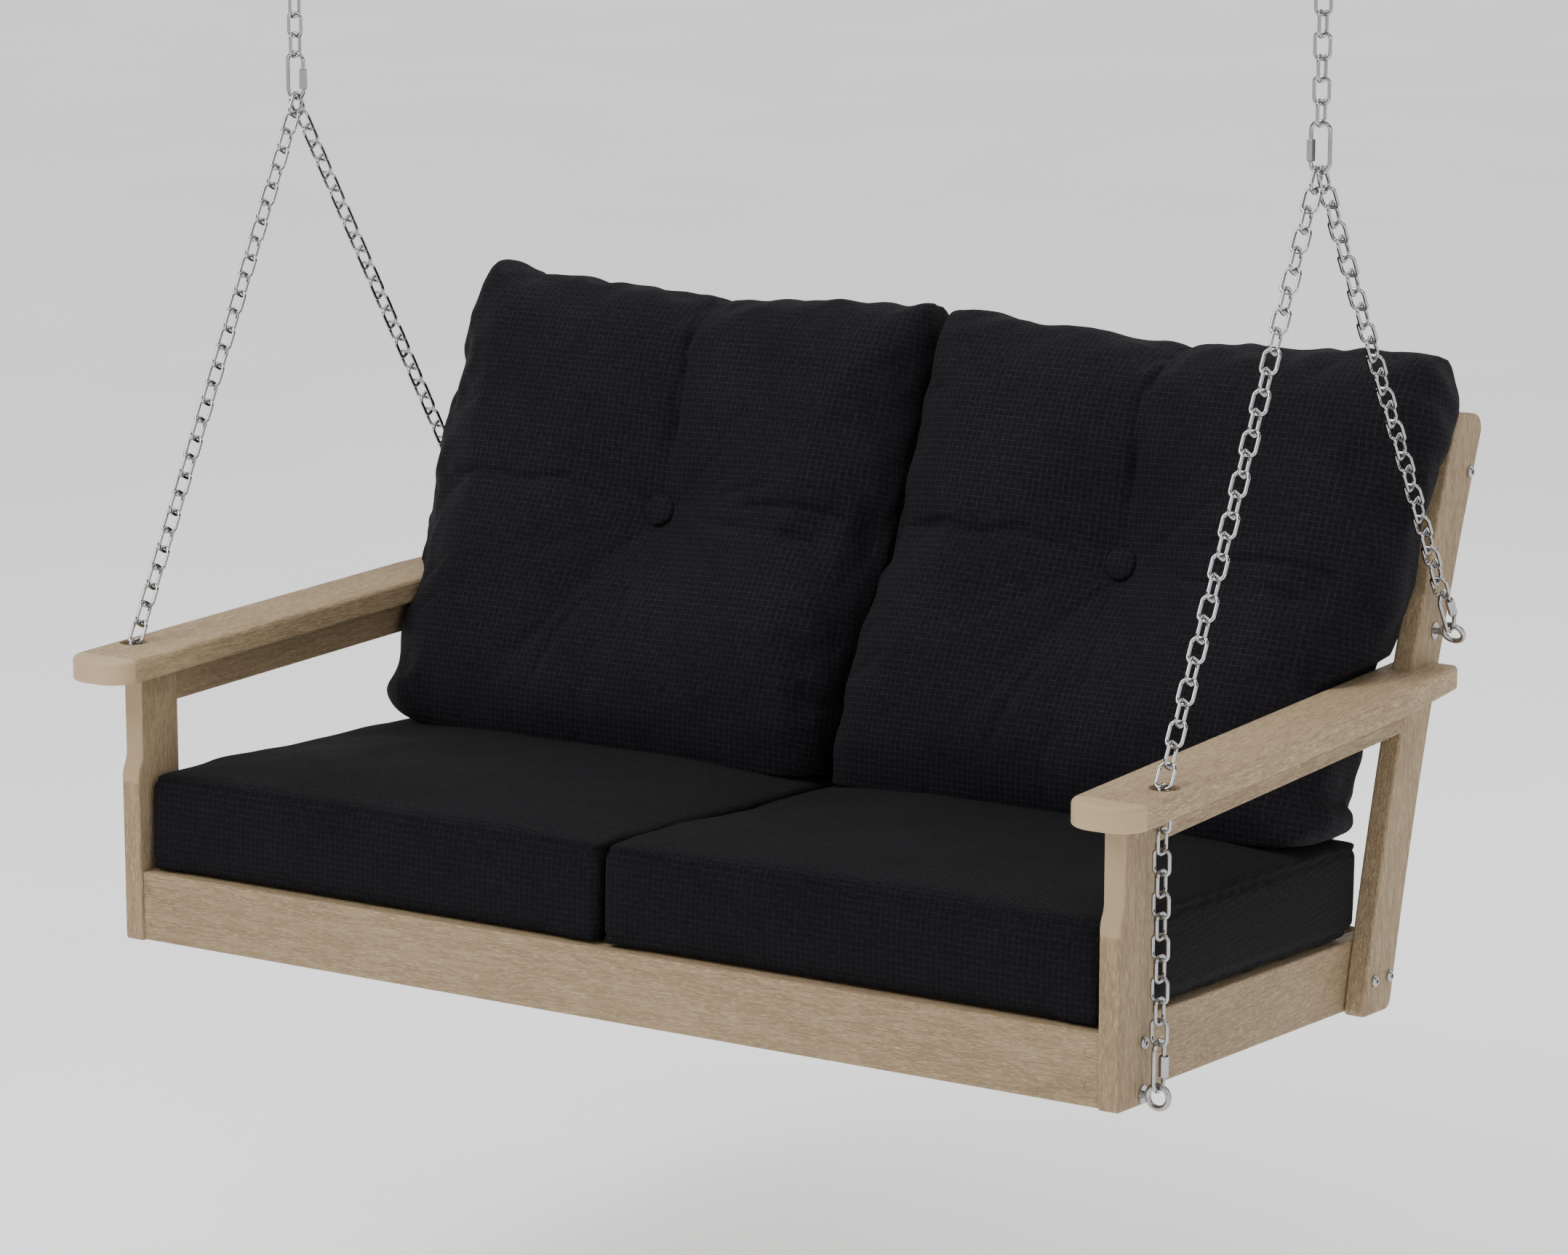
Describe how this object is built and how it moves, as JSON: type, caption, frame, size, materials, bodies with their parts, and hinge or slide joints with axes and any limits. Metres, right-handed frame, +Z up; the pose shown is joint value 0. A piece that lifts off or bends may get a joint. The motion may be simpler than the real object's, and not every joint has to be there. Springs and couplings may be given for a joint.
{
  "type": "porch swing seat",
  "caption": "Hanging porch swing bench with lumber-look slatted frame, armrests, chains, ceiling hangers and dark seat and back cushions.",
  "frame": {"origin": "on the underside of the beam, half-way between the two hangers, in the plane the chains hang in", "axes": "+X to the right seen from in front, across the seat; +Y to the rear; +Z up"},
  "size_m": [1.483, 0.9385, 1.2665],
  "materials": {
    "lumber": "moulded recycled-plastic lumber, tan, embossed wood grain",
    "chain_steel": "bright polished",
    "hardware_steel": "stainless, satin",
    "cushion_fabric": "woven outdoor cloth, charcoal"
  },
  "bodies": {
    "ceiling": {"hanger_left": "hardware_steel", "hanger_right": "hardware_steel"},
    "main_chains": {"main_chain_left": "chain_steel", "main_chain_right": "chain_steel", "upper_quick_link_left": "chain_steel", "upper_quick_link_right": "chain_steel"},
    "seat": {"apron_plugs": "lumber", "arm_rail_left": "lumber", "arm_rail_right": "lumber", "arm_screws": "hardware_steel", "armrest_left": "lumber", "armrest_right": "lumber", "back_cushion_left": "cushion_fabric", "back_cushion_right": "cushion_fabric", "back_slat_1": "lumber", "back_slat_2": "lumber", "back_slat_3": "lumber", "back_slat_4": "lumber", "back_slat_5": "lumber", "back_slat_6": "lumber", "back_slat_7": "lumber", "back_slat_8": "lumber", "back_upright_left": "lumber", "back_upright_right": "lumber", "centre_bearer": "lumber", "crest_rail": "lumber", "cushion_button_left": "cushion_fabric", "cushion_button_right": "cushion_fabric", "eye_bolts": "hardware_steel", "eye_nuts": "hardware_steel", "eye_washers": "hardware_steel", "frame_bolts": "hardware_steel", "front_apron": "lumber", "front_chain_left": "chain_steel", "front_chain_right": "chain_steel", "front_post_left": "lumber", "front_post_right": "lumber", "front_quick_link_left": "chain_steel", "front_quick_link_right": "chain_steel", "rear_chain_left": "chain_steel", "rear_chain_right": "chain_steel", "rear_quick_link_left": "chain_steel", "rear_quick_link_right": "chain_steel", "rear_rail": "lumber", "seat_cleats": "lumber", "seat_cushion_left": "cushion_fabric", "seat_cushion_right": "cushion_fabric", "seat_slat_1": "lumber", "seat_slat_2": "lumber", "seat_slat_3": "lumber", "seat_slat_4": "lumber", "side_rail_left": "lumber", "side_rail_right": "lumber", "slat_screws": "hardware_steel"},
    "upper_sleeve_left_body": {"upper_sleeve_left": "chain_steel"},
    "upper_sleeve_right_body": {"upper_sleeve_right": "chain_steel"},
    "front_sleeve_left_body": {"front_sleeve_left": "chain_steel"},
    "front_sleeve_right_body": {"front_sleeve_right": "chain_steel"},
    "rear_sleeve_left_body": {"rear_sleeve_left": "chain_steel"},
    "rear_sleeve_right_body": {"rear_sleeve_right": "chain_steel"}
  },
  "joints": [
    {"name": "hanger_swing", "type": "hinge", "parent": "ceiling", "child": "main_chains", "pos_m": [0, 0, -0.041], "axis": [1, 0, 0], "range_deg": [-25, 25]},
    {"name": "seat_swing", "type": "hinge", "parent": "main_chains", "child": "seat", "pos_m": [0, 0, -0.2573], "axis": [1, 0, 0], "range_deg": [-12, 12]},
    {"name": "upper_sleeve_left_travel", "type": "slide", "parent": "main_chains", "child": "upper_sleeve_left_body", "axis": [0, 0, 1], "range_m": [0, 0.008]},
    {"name": "upper_sleeve_right_travel", "type": "slide", "parent": "main_chains", "child": "upper_sleeve_right_body", "axis": [0, 0, 1], "range_m": [0, 0.008]},
    {"name": "front_sleeve_left_travel", "type": "slide", "parent": "seat", "child": "front_sleeve_left_body", "axis": [0, 0, 1], "range_m": [0, 0.008]},
    {"name": "front_sleeve_right_travel", "type": "slide", "parent": "seat", "child": "front_sleeve_right_body", "axis": [0, 0, 1], "range_m": [0, 0.008]},
    {"name": "rear_sleeve_left_travel", "type": "slide", "parent": "seat", "child": "rear_sleeve_left_body", "axis": [0, -0.5421, 0.8403], "range_m": [0, 0.008]},
    {"name": "rear_sleeve_right_travel", "type": "slide", "parent": "seat", "child": "rear_sleeve_right_body", "axis": [0, -0.5421, 0.8403], "range_m": [0, 0.008]}
  ]
}
